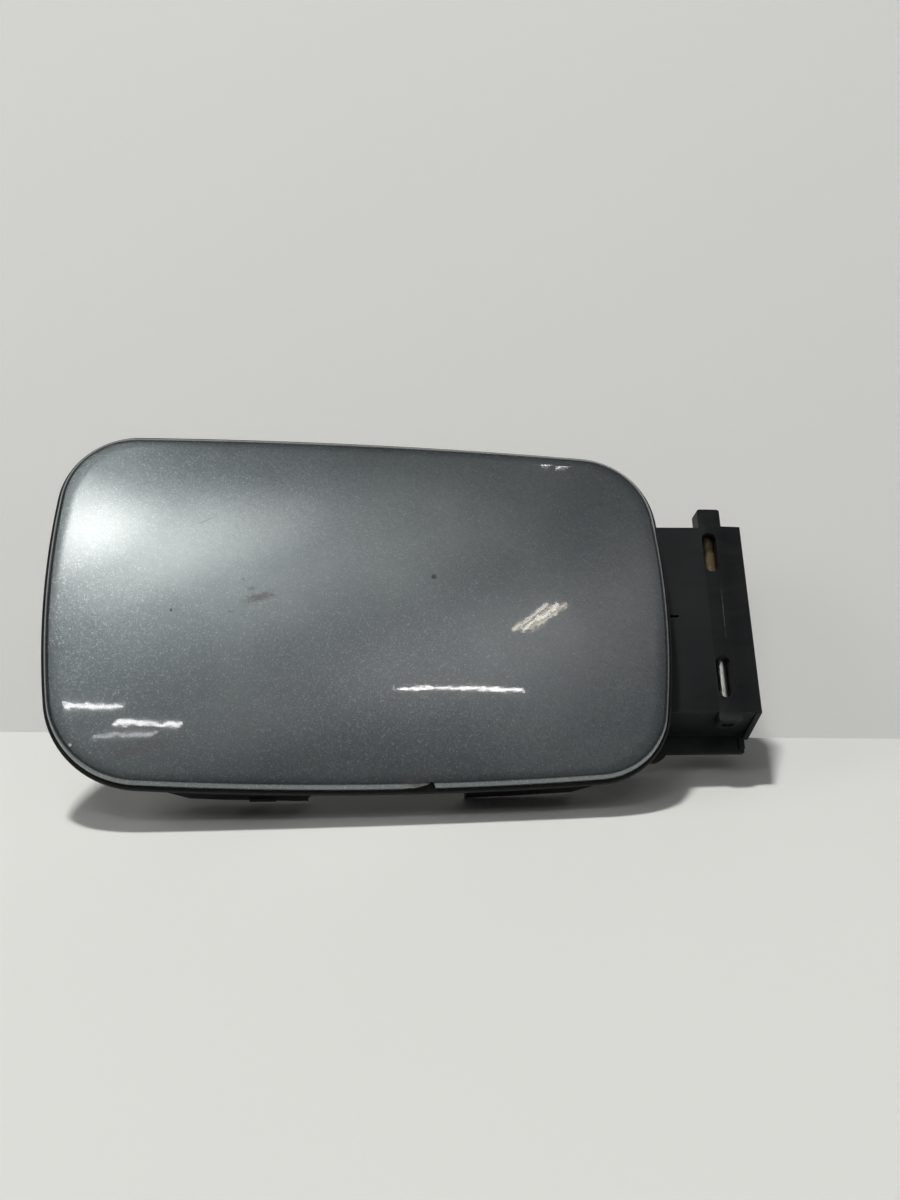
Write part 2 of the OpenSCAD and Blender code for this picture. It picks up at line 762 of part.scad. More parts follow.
// Hinge arm: knuckle, two goosenecks, gussets and foot
module hinge_arm() {
    web = (knuckle_h - arm_slot) / 2;
    foot_low = knuckle_mid - foot_h / 2;
    color(black) at_hinge() difference() {
        union() {
            translate([0, 0, knuckle_low]) cylinder(r = knuckle_r, h = knuckle_h);
            rise(knuckle_low, knuckle_top)
                translate(spot([0, 0], knuckle_r - lobe_sink, lobe_turn)) circle(lobe_r);
            difference() {
                rise(knuckle_low, knuckle_top) gooseneck_plan();
                rise(knuckle_mid - arm_slot / 2, knuckle_mid + arm_slot / 2) difference() {
                    translate([-arm_out_r - past, foot_back]) square([2 * arm_out_r, 2 * arm_out_r]);
                    circle(knuckle_r + leg_t / 2);
                }
            }
            box(foot_end, -arm_in_r, foot_face, foot_back, foot_low, foot_low + foot_h);
            for (z = [knuckle_low + web / 2, knuckle_top - web / 2])
                rise(z - rib_t / 2, z + rib_t / 2) polygon([
                    [foot_end + gusset_in, foot_back - lap], [lap - arm_out_r, foot_back - lap],
                    [lap - arm_out_r, 0], [-arm_out_r - gusset_tip, 0]
                ]);
        }
        translate([0, 0, knuckle_low - past]) cylinder(r = bush_r + fit_room, h = knuckle_h + 2 * past);
        for (x = foot_x, z = foot_z)
            along_y(x, z, screw_r + screw_clear, foot_face - past, foot_back + past);
    }
}

// Flanged bush, at the top or the foot of the knuckle
module bush(side) {
    color(acetal) at_hinge() translate([0, 0, knuckle_mid]) rotate([side < 0 ? 180 : 0, 0, 0])
        translate([0, 0, knuckle_h / 2]) {
            tube(bush_r, pin_r + run_gap, -bush_len, 0);
            tube(knuckle_r - bush_flange_in, pin_r + run_gap, 0, bush_flange);
        }
}

// Plan of the housing's well: flat in front and at the hinge side, round behind
module well_plan(r, side, front, tip) {
    intersection() {
        circle(r);
        union() {
            translate([-tip, front]) square([tip + side, flange_front - front]);
            translate([-r, flange_front]) square([r + side, r - flange_front]);
        }
    }
}

// Side view of the well, with its sloping floor
module well_side(wall) {
    polygon([
        [-pin_set, housing_low + wall], [flange_front, floor_low + wall],
        [barrel_out_r + past, floor_low + wall], [barrel_out_r + past, housing_top - wall],
        [-pin_set, housing_top - wall]
    ]);
}

module window(z) {
    slab(-pin_set - past, 0) translate([window_shift, 0]) {
        for (side = [-1, 1]) translate([0, z + side * (window_h - window_w) / 2]) circle(window_w / 2);
        translate([-window_w / 2, z - (window_h - window_w) / 2]) square([window_w, window_h - window_w]);
    }
}

// Bearing block round the pin, tied to the front and to the hinge side
module pin_block(z0, z1) {
    rise(z0, z1) {
        circle(boss_r);
        translate([-boss_r, -pin_set + housing_wall / 2]) square([2 * boss_r, pin_set - housing_wall / 2]);
        translate([0, -rib_t / 2]) square([side_reach - housing_wall / 2, rib_t]);
    }
}

// Boss that holds an end of the pin: flat in front, round behind, with round corners at its open end
module end_boss(z0, z1) {
    half = cap_boss_w / 2;
    intersection() {
        rise(z0, z1) translate([boss_shift, 0]) {
            translate([-half, -pin_set]) square([cap_boss_w, pin_set]);
            circle(half);
        }
        slab(-pin_set - past, half + past)
            round_plate(boss_shift - half, boss_shift + half, z0, z1, cap_boss_edge);
    }
}

// Flange with its ear, the ribs on its front and the edge of the housing's outer side
module flange() {
    left = -hole_reach - flange_rim;
    right = side_reach - flange_step;
    low = floor_low - flange_down;
    top = housing_top + flange_up;
    slab(flange_front, flange_face) {
        round_plate(left, right, low, top, flange_r);
        round_plate(left, -ear_reach, low - ear_drop, top, flange_r);
        translate([right - 2 * flange_r, low]) square(2 * flange_r);
    }
    for (z = [-ear_rib_z, ear_rib_z])
        box(left + ear_rib_in, -barrel_in_r - barrel_wall / 2, flange_front - ear_rib_h, flange_front + lap,
            z - rib_t / 2, z + rib_t / 2);
    span(side_reach - housing_wall, side_reach) polygon([
        [-pin_set, housing_low], [flange_front - side_rib_h, housing_low - side_drop],
        [flange_front + lap, housing_low - side_drop], [flange_front + lap, housing_low]
    ]);
    box(right - housing_wall, right, flange_front - side_rib_h, flange_front + lap,
        low + side_rib_h, housing_low);
}

// Hinge housing
module hinge_housing() {
    side_in = side_reach - housing_wall;
    color(black) at_hinge() difference() {
        union() {
            intersection() {
                rise(floor_low - past, housing_top + past)
                    well_plan(barrel_out_r, side_reach, -pin_set, tip_reach);
                span(-barrel_out_r, barrel_out_r) well_side(0);
            }
            flange();
            end_boss(housing_top - 2 * cap_boss_edge, housing_top + cap_boss_h);
            end_boss(housing_low - foot_boss_h, housing_low + 2 * cap_boss_edge);
            box(boss_shift + cap_boss_w / 2 - lap, side_reach, -pin_set, flange_front + lap,
                housing_top - housing_wall, housing_top + top_strip_h);
        }
        difference() {
            intersection() {
                rise(floor_low - past, housing_top + past)
                    well_plan(barrel_in_r, side_in, housing_wall - pin_set, barrel_out_r);
                span(-barrel_out_r - past, barrel_out_r) well_side(housing_wall);
            }
            pin_block(floor_low, block_low);
            pin_block(block_top, housing_top);
            box(leaf_seat, side_reach, rivet_y - leaf_pad, rivet_y + leaf_pad,
                knuckle_mid - leaf_w / 2, knuckle_mid + leaf_w / 2);
        }
        translate([0, 0, block_low]) cylinder(r = knuckle_r + knuckle_room, h = block_top - block_low);
        box(-boss_r, side_in, -pin_set + housing_wall - pocket, 0, block_low, block_top);
        translate([0, 0, housing_low - foot_boss_h - past])
            cylinder(r = pin_r, h = pin_top - housing_low + foot_boss_h + past);
        window(window_up);
        window(-window_down);
        rise(housing_low - foot_boss_h - past, housing_top + cap_boss_h + past) polygon([
            [front_crease, -pin_set], [side_reach + past, front_bevel - pin_set],
            [side_reach + past, -pin_set - past], [front_crease, -pin_set - past]
        ]);
        box(-tip_reach - past, slit_len - tip_reach, -pin_set - past, 0, 0, slit_h);
        for (side = [-1, 1]) {
            along_y(-hole_reach, side * hole_pitch / 2, bolt_hole_r + sleeve_wall,
                flange_front - past, flange_face + past);
            translate([leaf_seat, rivet_y, knuckle_mid + side * rivet_pitch / 2]) rotate([0, 90, 0])
                cylinder(r = rivet_r, h = side_reach - rivet_skin - leaf_seat);
        }
    }
}

// Hinge pin
module hinge_pin() {
    color(steel) at_hinge() {
        translate([0, 0, pin_low]) cylinder(r1 = pin_r - pin_bevel, r2 = pin_r, h = pin_bevel);
        translate([0, 0, pin_low + pin_bevel]) cylinder(r = pin_r, h = pin_top - pin_low - 2 * pin_bevel);
        translate([0, 0, pin_top - pin_bevel]) cylinder(r1 = pin_r, r2 = pin_r - pin_bevel, h = pin_bevel);
    }
}

// Check spring: a steel leaf that bears on the knuckle's lobe
module check_spring() {
    color(steel) at_hinge() difference() {
        box(leaf_x, leaf_seat, -leaf_front, leaf_back,
            knuckle_mid - leaf_w / 2, knuckle_mid + leaf_w / 2);
        for (side = [-1, 1])
            translate([leaf_x - past, rivet_y, knuckle_mid + side * rivet_pitch / 2]) rotate([0, 90, 0])
                cylinder(r = rivet_r + fit_room, h = leaf_t + 2 * past);
    }
}

module spring_rivet(side) {
    z = knuckle_mid + side * rivet_pitch / 2;
    color(steel) at_hinge() translate([leaf_x, rivet_y, z]) rotate([0, 90, 0]) {
        translate([0, 0, -rivet_head_h]) cylinder(r = rivet_head_r, h = rivet_head_h);
        cylinder(r = rivet_r, h = side_reach - rivet_skin - tip_room - leaf_x);
    }
}

// Sleeve that takes the load of a mounting bolt
module mounting_sleeve(side) {
    color(zinc) translate([0, 0, side * hole_pitch / 2]) rotate([-90, 0, 0])
        tube(bolt_hole_r + sleeve_wall, bolt_hole_r, -flange_t, 0);
}

outer_panel();
inner_carrier();
edge_seal();
hinge_arm();
bush(1);  // bush_upper
bush(-1);  // bush_lower
arm_screw(0);  // arm_screw_1
arm_screw(1);  // arm_screw_2
arm_screw(2);  // arm_screw_3
arm_screw(3);  // arm_screw_4
bump_stop(1);  // bump_stop_upper
bump_stop(-1);  // bump_stop_lower
latch_striker();
striker_screw(0);  // striker_screw_1
striker_screw(1);  // striker_screw_2
hinge_housing();
hinge_pin();
check_spring();
spring_rivet(-1);  // spring_rivet_1
spring_rivet(1);  // spring_rivet_2
mounting_sleeve(-1);  // mounting_sleeve_1
mounting_sleeve(1);  // mounting_sleeve_2
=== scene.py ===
import math

import bpy
import numpy as np
from mathutils import Matrix, Vector


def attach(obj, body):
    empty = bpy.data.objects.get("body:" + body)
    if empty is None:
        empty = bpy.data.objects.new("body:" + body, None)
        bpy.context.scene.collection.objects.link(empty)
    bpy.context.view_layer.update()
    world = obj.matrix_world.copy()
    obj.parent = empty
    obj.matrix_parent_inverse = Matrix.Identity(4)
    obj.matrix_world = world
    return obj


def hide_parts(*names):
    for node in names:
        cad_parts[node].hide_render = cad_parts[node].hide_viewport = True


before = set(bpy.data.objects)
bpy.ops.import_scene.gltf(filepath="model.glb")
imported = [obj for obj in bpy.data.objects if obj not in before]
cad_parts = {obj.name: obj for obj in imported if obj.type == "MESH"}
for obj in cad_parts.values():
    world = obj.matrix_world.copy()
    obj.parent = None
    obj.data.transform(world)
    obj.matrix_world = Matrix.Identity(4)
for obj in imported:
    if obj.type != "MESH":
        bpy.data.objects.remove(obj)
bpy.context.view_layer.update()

scene = bpy.context.scene
mm = 0.001
print("frame loaded:", len(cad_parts), "nodes")

# Camera, in the frame of the mounting holes
view = {
    "spot": (-0.0911, -0.4182, -0.1408),
    "ahead": (0.083, 0.934, 0.348),
    "lens": 36.0,
    "sensor": 36.0,
    "clip": (0.01, 30),
    "tilt": math.radians(13),    # how far the camera looks down in the room
}


def place(obj, spot, ahead, up):
    # sets obj at spot, facing along ahead, and gives its side, its up and its ahead
    f = Vector(ahead).normalized()
    r = f.cross(Vector(up)).normalized()
    u = r.cross(f)
    turn = Matrix((r, u, -f)).transposed().to_4x4()
    obj.matrix_world = Matrix.Translation(Vector(spot)) @ turn
    return r, u, f


lensData = bpy.data.cameras.new("camera")
lensData.lens, lensData.sensor_width = view["lens"], view["sensor"]
lensData.clip_start, lensData.clip_end = view["clip"]
cameraObj = bpy.data.objects.new("camera", lensData)
scene.collection.objects.link(cameraObj)
levelUp = Vector((1, 0, 0)).cross(Vector(view["ahead"]))    # keeps the flap's long side level in the picture
roomSide, cameraUp, cameraAhead = place(cameraObj, view["spot"], view["ahead"], levelUp)
scene.camera = cameraObj

# The flap leans back in the room, so the room's own axes are turned in the frame
roomUp = math.cos(view["tilt"]) * cameraUp - math.sin(view["tilt"]) * cameraAhead
roomAway = math.cos(view["tilt"]) * cameraAhead + math.sin(view["tilt"]) * cameraUp


def inRoom(side, away, up):
    return side * roomSide + away * roomAway + up * roomUp


# Node helpers. A noise is given as its scale, detail and roughness, and its stretch where it has one. A range
# is the two values that it runs between and, where they aren't 0 and 1, the two that they become.
raggedEdge = (4.0, 0.6)    # detail and roughness of the noise that frays the edge of a spot


class Wiring:
    def __init__(self, name):
        self.material = bpy.data.materials.new(name)
        self.material.use_nodes = True
        self.tree = self.material.node_tree
        self.tree.nodes.clear()
        self.output = self.tree.nodes.new("ShaderNodeOutputMaterial")

    def add(self, kind, inputs=None, **settings):
        node = self.tree.nodes.new(kind)
        for key, value in settings.items():
            setattr(node, key, value)
        for key, value in (inputs or {}).items():
            self.feed(node.inputs[key], value)
        return node

    def feed(self, socket, value):
        if isinstance(value, bpy.types.NodeSocket):
            self.tree.links.new(value, socket)
        else:
            socket.default_value = value

    def math(self, operation, a, b=0.0, c=0.0):
        return self.add("ShaderNodeMath", {0: a, 1: b, 2: c}, operation=operation).outputs[0]

    def vector(self, operation, a, b=(0, 0, 0)):
        node = self.add("ShaderNodeVectorMath", {0: a, 1: b}, operation=operation)
        return node.outputs["Value" if operation in ("DOT_PRODUCT", "LENGTH") else "Vector"]

    def noise(self, where, scale, detail, rough, stretch=None):
        if stretch:
            where = self.vector("MULTIPLY", where, stretch)
        inputs = {"Vector": where, "Scale": scale, "Detail": detail, "Roughness": rough}
        return self.add("ShaderNodeTexNoise", inputs).outputs["Fac"]

    def ramp(self, value, low, high, outLow=0.0, outHigh=1.0):
        node = self.add(
            "ShaderNodeMapRange",
            {"Value": value, "From Min": low, "From Max": high, "To Min": outLow, "To Max": outHigh},
            interpolation_type="SMOOTHSTEP",
        )
        return node.outputs[0]

    def between(self, value, least, more):
        return self.math("MULTIPLY_ADD", value, more, least)

    def blend(self, share, a, b):
        node = self.add("ShaderNodeMix", {0: share}, data_type="RGBA", clamp_factor=True)
        for key, colour in ((6, a), (7, b)):
            plain = not isinstance(colour, bpy.types.NodeSocket)
            self.feed(node.inputs[key], (*colour, 1.0) if plain else colour)
        return node.outputs[2]

    def bump(self, height, depth):
        return self.add("ShaderNodeBump", {"Height": height, "Distance": depth, "Strength": 1.0}).outputs[0]

    def spot(self, where, centre, half, turn, ragged, scale, soft):
        # 1 inside a ragged ellipse on the flap's face, 0 outside
        node = self.add("ShaderNodeMapping", {
            "Vector": where, "Location": (centre[0], 0, centre[1]),
            "Rotation": (0, turn, 0), "Scale": (half[0], 1.0, half[1]),
        }, vector_type="TEXTURE")
        flat = self.vector("MULTIPLY", node.outputs[0], (1, 0, 1))
        reach = self.vector("LENGTH", flat)
        rough = self.noise(where, scale, *raggedEdge)
        reach = self.math("MULTIPLY_ADD", rough, ragged * 2, reach)
        return self.ramp(reach, 1 + ragged, 1 + ragged - soft)

    def finish(self, shader):
        self.tree.links.new(shader.outputs[0], self.output.inputs[0])
        return self.material

    def close(self, inputs):
        return self.finish(self.add("ShaderNodeBsdfPrincipled", inputs))


def objectPlace(wiring):
    return wiring.add("ShaderNodeTexCoord").outputs["Object"]


def geometry(wiring, what):
    return wiring.add("ShaderNodeNewGeometry").outputs[what]


# Mesh helpers


def linkedMesh(name, points, faces):
    data = bpy.data.meshes.new(name)
    data.from_pydata([tuple(p) for p in points], [], faces)
    obj = bpy.data.objects.new(name, data)
    scene.collection.objects.link(obj)
    return obj


def meshPiece(name, points, faces, body, finish, smoothAngle):
    obj = linkedMesh(name, points, faces)
    obj.data.validate()
    obj.data.update()
    obj.data.materials.append(finish)
    obj.data.set_sharp_from_angle(angle=math.radians(smoothAngle))
    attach(obj, body)
    return obj


def ringFaces(rows, count):
    faces = []
    for j in range(rows - 1):
        for i in range(count):
            a, b = j * count + i, j * count + (i + 1) % count
            faces.append((a, b, b + count, a + count))
    return faces


# Painted flap: the panel's outline is four arcs joined by four bowed sides
flap = {
    "width": 211.4, "height": 126.1, "topFall": 6.6,
    "cornerRadius": (26.0, 26.5, 25.5, 32.5),    # lower hinge, upper hinge, upper free, lower free
    "bow": (253.0, 1990.0, 281.0, 1195.0),       # hinge side, top, free side, foot
    "topIn": 1.8, "footIn": 2.7, "footUp": 2.1,
    "wall": 1.2, "crown": 2.4, "edge": 2.0, "rim": 3.0,
    "rimRound": ((0, 0.25), (0.08, 0.07), (0.25, 0)),    # inset, and how far short of the rim's end
    "innerRound": (0.35, 0.25),                          # run and rise of the corner inside the shell
    "innerShares": (0.99, 0.8, 0.6, 0.4, 0.2),           # rings of the shell's inner face
    "cornerSteps": 20, "sideSteps": 44,
    "domeRings": 26, "edgeRings": 8, "smooth": 50,
}
flapSpot = Vector((-86.97, -34.699, 0.55)) * mm    # the flap's middle, in the plane of its edge


def flapCorners():
    w, h, r = flap["width"] / 2, flap["height"] / 2, flap["cornerRadius"]
    return [
        (w - flap["footIn"] - r[0], r[0] + flap["footUp"] - h),
        (w - flap["topIn"] - r[1], h - flap["topFall"] - r[1]),
        (flap["topIn"] + r[2] - w, h - r[2]),
        (flap["footIn"] + r[3] - w, r[3] + flap["footUp"] - h),
    ]


def bowCentre(c1, d1, c2, d2):
    # the point at d1 from c1 and d2 from c2, on the flap's side of their line
    vx, vy = c2[0] - c1[0], c2[1] - c1[1]
    d = math.hypot(vx, vy)
    a = (d1 * d1 - d2 * d2 + d * d) / (2 * d)
    h = math.sqrt(d1 * d1 - a * a)
    return c1[0] + (a * vx - h * vy) / d, c1[1] + (a * vy + h * vx) / d


def flapOutline(inset):
    # closed line round the flap in millimetres, moved in by inset
    r, bow, at = flap["cornerRadius"], flap["bow"], flapCorners()
    mid = [bowCentre(at[k], bow[k] - r[k], at[(k + 1) % 4], bow[k] - r[(k + 1) % 4]) for k in range(4)]
    line = []
    for k in range(4):
        before, after, corner, nextCorner = mid[(k + 3) % 4], mid[k], at[k], at[(k + 1) % 4]
        start = math.atan2(corner[1] - before[1], corner[0] - before[0])
        turn = math.atan2(corner[1] - after[1], corner[0] - after[0])
        end = math.atan2(nextCorner[1] - after[1], nextCorner[0] - after[0])
        turn += 2 * math.pi * (turn < start)
        end += 2 * math.pi * math.ceil((turn - end) / (2 * math.pi)) if end < turn else 0
        reach = r[k] - inset
        for i in range(flap["cornerSteps"] + 1):
            t = start + (turn - start) * i / flap["cornerSteps"]
            line.append((corner[0] + reach * math.cos(t), corner[1] + reach * math.sin(t)))
        reach = bow[k] - inset
        for i in range(1, flap["sideSteps"]):
            t = turn + (end - turn) * i / flap["sideSteps"]
            line.append((after[0] + reach * math.cos(t), after[1] + reach * math.sin(t)))
    return line


def domeHeight(x, z):
    # rise of the flap's face over the plane of its edge
    u, v = 2 * x / flap["width"], 2 * z / flap["height"]
    return flap["crown"] * max(0.0, 1 - u * u) * max(0.0, 1 - v * v)


def flapRow(inset, depth, share=1.0, domed=True):
    row = []
    for x, z in flapOutline(inset):
        x, z = share * x, share * z
        row.append((x, depth - (domeHeight(x, z) if domed else 0.0), z))
    return row


def flatRow(inset, depth):
    return flapRow(inset, depth, domed=False)


def onFlap(rows):
    return [flapSpot + mm * Vector(p) for row in rows for p in row]


# Paint

paintLook = {
    "base": (0.185, 0.207, 0.215), "bright": (0.42, 0.46, 0.46), "dark": (0.115, 0.130, 0.141),
    "metallic": 0.92, "roughness": (0.288, 0.02),    # least, and what the mottle adds
    "flakeScale": 3000.0, "flakeTilt": 0.055,
    "spark": (0.80, 1.0), "sparkShare": 0.6,         # flakes that catch the light
    "dull": (0.72, 1.0), "dullShare": 0.45,          # flakes that turn from it
    "mottle": (420.0, 3.0, 0.6), "mottleRange": (0.30, 0.70, 0.0, 0.18),
    "cloud": (28.0, 2.0, 0.5), "cloudRange": (0.35, 0.70, 0.0, 0.12),
    "coat": 1.0, "coatRoughness": 0.03, "coatIndex": 1.5,
    "peel": (260.0, 2.0, 0.45), "peelDepth": 7.5e-6,
    "tones": {
        "smear": (0.040, 0.032, 0.026), "film": (0.125, 0.106, 0.098), "speck": (0.75, 0.75, 0.73),
        "tar": (0.010, 0.010, 0.010), "rust": (0.13, 0.085, 0.055),
    },
    # handling marks of the used flap, in metres: tone, middle, half size, turn, raggedness, grain, softness,
    # strength
    "marks": [
        ("smear", (-0.1213, 0.0024), (0.0082, 0.0022), -0.24, 0.9, 900.0, 1.1, 0.68),
        ("smear", (-0.1240, 0.0055), (0.0022, 0.0011), -0.1, 0.9, 1100.0, 1.0, 0.50),
        ("smear", (-0.1270, 0.0088), (0.0007, 0.0007), 0.0, 0.5, 1500.0, 0.8, 0.50),
        ("smear", (-0.1311, -0.0026), (0.0012, 0.0007), 0.1, 0.6, 1500.0, 0.9, 0.50),
        ("tar", (-0.0625, 0.0097), (0.0011, 0.0011), 0.0, 0.5, 1500.0, 0.4, 0.9),
        ("tar", (-0.1506, -0.0020), (0.0006, 0.0007), 0.0, 0.4, 1500.0, 0.4, 0.9),
        ("tar", (-0.1401, 0.0309), (0.0045, 0.0003), -0.45, 0.4, 1200.0, 0.6, 0.5),
        ("film", (-0.1575, -0.0490), (0.0150, 0.0034), -0.22, 1.0, 300.0, 1.1, 0.55),
        ("speck", (-0.1802, -0.0474), (0.0006, 0.0006), 0.0, 0.4, 1500.0, 0.4, 0.9),
        ("rust", (-0.0700, -0.0612), (0.0050, 0.0014), 0.1, 0.8, 900.0, 0.8, 0.6),
    ],
}


def paintFinish():
    w, look = Wiring("gunmetalPaint"), paintLook
    where, normal = objectPlace(w), geometry(w, "Normal")
    cells = w.add("ShaderNodeTexVoronoi", {"Vector": where, "Scale": look["flakeScale"]}, feature="F1")
    flakes = cells.outputs["Color"]
    lean = w.vector("MULTIPLY", w.vector("SUBTRACT", flakes, (0.5, 0.5, 0.5)), (look["flakeTilt"],) * 3)
    flakeNormal = w.vector("NORMALIZE", w.vector("ADD", normal, lean))
    parts = w.add("ShaderNodeSeparateColor", {0: flakes})
    spark = w.ramp(parts.outputs[0], *look["spark"])
    dull = w.ramp(parts.outputs[1], *look["dull"])
    mottle = w.noise(where, *look["mottle"])
    cloud = w.noise(where, *look["cloud"])
    colour = w.blend(w.math("MULTIPLY", spark, look["sparkShare"]), look["base"], look["bright"])
    colour = w.blend(w.math("MULTIPLY", dull, look["dullShare"]), colour, look["dark"])
    colour = w.blend(w.ramp(mottle, *look["mottleRange"]), colour, look["dark"])
    colour = w.blend(w.ramp(cloud, *look["cloudRange"]), colour, look["bright"])
    soiled = None
    for tone, *ellipse, strength in look["marks"]:
        mask = w.math("MULTIPLY", w.spot(where, *ellipse), strength)
        colour = w.blend(mask, colour, look["tones"][tone])
        soiled = mask if soiled is None else w.math("MAXIMUM", soiled, mask)
    metallic = w.between(soiled, look["metallic"], -look["metallic"])
    peel = w.noise(where, *look["peel"])
    return w.close({
        "Base Color": colour, "Metallic": metallic, "Roughness": w.between(mottle, *look["roughness"]),
        "Normal": flakeNormal, "Coat Weight": look["coat"], "Coat Roughness": look["coatRoughness"],
        "Coat IOR": look["coatIndex"], "Coat Normal": w.bump(peel, look["peelDepth"]),
    })


# Black mouldings

plasticLook = {
    "housing": {
        "base": (0.0080, 0.0084, 0.0096), "worn": (0.034, 0.036, 0.038), "dust": (0.16, 0.155, 0.145),
        "dustiness": 0.06, "roughness": (0.40, 0.16), "grain": (1500.0, 3.0, 0.55), "depth": 1.2e-5,
        # painted highlight along the pin's crease: middle, half size, turn, raggedness, grain, softness
        "creaseHighlight": {
            "line": ((0.0423, 0.0022), (0.00022, 0.0150), 0.015, 0.6, 500.0, 0.9),
            "strength": 0.75, "facing": (0.5, 0.8),
        },
        # painted light: a green-grey lift on what faces down and on the housing's foot, standing in for light
        # bounced up from the floor
        "floorBounceLight": {
            "tone": (0.125, 0.150, 0.137), "patch": (0.3, 0.7, 0.14, 0.30),
            "under": (-0.55, -0.80), "below": (-0.0335, -0.0370),
        },
    },
    "carrier": {
        "base": (0.0085, 0.0085, 0.0090), "worn": (0.040, 0.040, 0.041), "dust": (0.17, 0.16, 0.15),
        "dustiness": 0.16, "roughness": (0.46, 0.16), "grain": (1900.0, 3.0, 0.55), "depth": 1.0e-5,
    },
    "arm": {
        "base": (0.0125, 0.0126, 0.0132), "worn": (0.055, 0.055, 0.055), "dust": (0.16, 0.155, 0.145),
        "dustiness": 0.14, "roughness": (0.38, 0.16), "grain": (1300.0, 3.0, 0.55), "depth": 1.4e-5,
    },
}
# what the three mouldings share
mouldingLook = {
    "patch": (45.0, 4.0, 0.55), "patchRelief": 0.6,
    "flow": (60.0, 3.0, 0.5, (1.0, 1.0, 5.0)), "flowRange": (0.3, 0.75, 0.0, 0.22),
    "streak": (260.0, 4.0, 0.65, (6.0, 1.0, 0.35)), "scuff": (0.60, 0.74), "scuffShare": 0.28,
    "edge": (0.52, 0.60, 0.0, 0.45),                         # wear, by how pointed the surface is
    "lying": (-0.1, 1.0), "settled": (0.38, 0.72), "settledShare": 0.85,
    "clinging": (0.5, 0.8, 0.0, 0.15), "dustRough": 0.5,
    "specular": 0.3,
}


def plasticFinish(name, look):
    w, shared = Wiring(name), mouldingLook
    where, normal = objectPlace(w), geometry(w, "Normal")
    grain = w.noise(where, *look["grain"])
    patch = w.noise(where, *shared["patch"])
    flow = w.noise(where, *shared["flow"])
    streak = w.noise(where, *shared["streak"])
    up = w.vector("DOT_PRODUCT", normal, tuple(roomUp))
    settled = w.math("MULTIPLY", w.ramp(up, *shared["lying"]), w.ramp(patch, *shared["settled"]))
    dust = w.math("MULTIPLY_ADD", settled, shared["settledShare"], w.ramp(patch, *shared["clinging"]))
    dust = w.math("MULTIPLY", dust, look["dustiness"])
    scuffed = w.math("MULTIPLY", w.ramp(streak, *shared["scuff"]), shared["scuffShare"])
    edge = w.ramp(geometry(w, "Pointiness"), *shared["edge"])
    colour = w.blend(w.ramp(flow, *shared["flowRange"]), look["base"], look["worn"])
    colour = w.blend(w.math("MAXIMUM", scuffed, edge), colour, look["worn"])
    # painted highlight: a light line along the crease, on faces that look forward, in the dust tone, standing
    # in for the crease catching the light
    if "creaseHighlight" in look:
        creaseHighlight = look["creaseHighlight"]
        facing = w.ramp(w.vector("DOT_PRODUCT", normal, (0, -1, 0)), *creaseHighlight["facing"])
        creaseLit = w.math("MULTIPLY", w.spot(where, *creaseHighlight["line"]), facing)
        colour = w.blend(w.math("MULTIPLY", creaseLit, creaseHighlight["strength"]), colour, look["dust"])
    if "floorBounceLight" in look:
        floorBounceLight = look["floorBounceLight"]
        height = w.add("ShaderNodeSeparateXYZ", {0: where}).outputs["Z"]
        # painted bounce light on faces that look down and on the low foot, patchy by noise
        low = w.math("MAXIMUM", w.ramp(up, *floorBounceLight["under"]), w.ramp(height, *floorBounceLight["below"]))
        colour = w.blend(w.math("MULTIPLY", low, w.ramp(patch, *floorBounceLight["patch"])), colour, floorBounceLight["tone"])
    colour = w.blend(dust, colour, look["dust"])
    rough = w.math("MULTIPLY_ADD", dust, shared["dustRough"], w.between(flow, *look["roughness"]))
    relief = w.math("MULTIPLY_ADD", patch, shared["patchRelief"], grain)
    return w.close({
        "Base Color": colour, "Roughness": rough, "Normal": w.bump(relief, look["depth"]),
        "Specular IOR Level": shared["specular"],
    })


# Rubber of the seal and the bump stops

rubberLook = {
    "base": (0.0075, 0.0075, 0.0078), "bloom": (0.060, 0.060, 0.058),
    "roughness": (0.52, 0.2), "depth": 1.5e-5,
    "speck": (900.0, 4.0, 0.6), "speckRange": (0.62, 0.75, 0.0, 0.35),
    "patch": (70.0, 4.0, 0.6), "patchRange": (0.45, 0.75), "patchShare": 0.30,
}


def rubberFinish():
    w, look = Wiring("agedRubber"), rubberLook
    where = objectPlace(w)
    speck = w.noise(where, *look["speck"])
    patch = w.noise(where, *look["patch"])
    bloom = w.math("MULTIPLY", w.ramp(patch, *look["patchRange"]), look["patchShare"])
    colour = w.blend(bloom, look["base"], look["bloom"])
    colour = w.blend(w.ramp(speck, *look["speckRange"]), colour, look["bloom"])
    rough = w.between(patch, *look["roughness"])
    return w.close({"Base Color": colour, "Roughness": rough, "Normal": w.bump(speck, look["depth"])})


# Steel and zinc

metalLook = {
    "pin": {
        "base": (0.50, 0.50, 0.48), "stain": (0.30, 0.29, 0.27), "roughness": (0.20, 0.22),
        "brushed": (220.0, 3.0, 0.6, (40.0, 40.0, 1.0)),
        "rustZone": (0.006, 0.018),    # heights between which the rust sets in
    },
    "zinc": {
        "base": (0.56, 0.57, 0.56), "stain": (0.36, 0.35, 0.30), "roughness": (0.28, 0.22),
        "brushed": (220.0, 3.0, 0.6, (1.0, 6.0, 1.0)),
    },
    "leaf": {
        "base": (0.44, 0.44, 0.45), "stain": (0.24, 0.22, 0.20), "roughness": (0.22, 0.22),
        "brushed": (220.0, 3.0, 0.6, (1.0, 1.0, 14.0)),
    },
}
